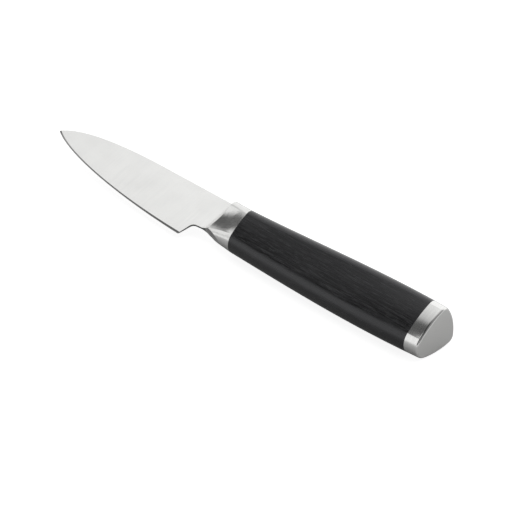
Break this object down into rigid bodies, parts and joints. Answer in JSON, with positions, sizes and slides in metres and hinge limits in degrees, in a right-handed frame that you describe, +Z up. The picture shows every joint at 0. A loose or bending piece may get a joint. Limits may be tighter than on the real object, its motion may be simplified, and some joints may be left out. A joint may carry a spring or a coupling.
{
  "type": "paring knife",
  "caption": "Small forged kitchen knife with a short pointed blade, flared steel bolster, three-sided black wooden handle and flat steel butt cap, lying on its side.",
  "frame": {"origin": "Centre of the butt's flat end face, on the plane of the blade and halfway between its spine side and its belly side.", "axes": "+X runs along the handle from the tip to the butt, square to the butt's face. +Z is up from the surface that the knife lies on. The spine is towards +Y and the cutting edge towards -Y, and the blade's plane leans about the X axis so that its spine side is the higher."},
  "size_m": [0.1935, 0.0243, 0.0173],
  "materials": {
    "blade_steel": "satin ground stainless steel, finer on the bolster",
    "rod_steel": "plain turned stainless rod, hidden",
    "black_wood": "black resin-filled laminated wood, sanded smooth, fine grain along the handle",
    "cured_resin": "cured casting resin, hidden",
    "cap_steel": "satin stainless steel band with a finely blasted flat end"
  },
  "bodies": {
    "root": {"blade": "blade_steel", "tang_rod": "rod_steel", "handle_sleeve": "black_wood", "tang_bedding": "cured_resin", "end_cap": "cap_steel"}
  },
  "joints": []
}
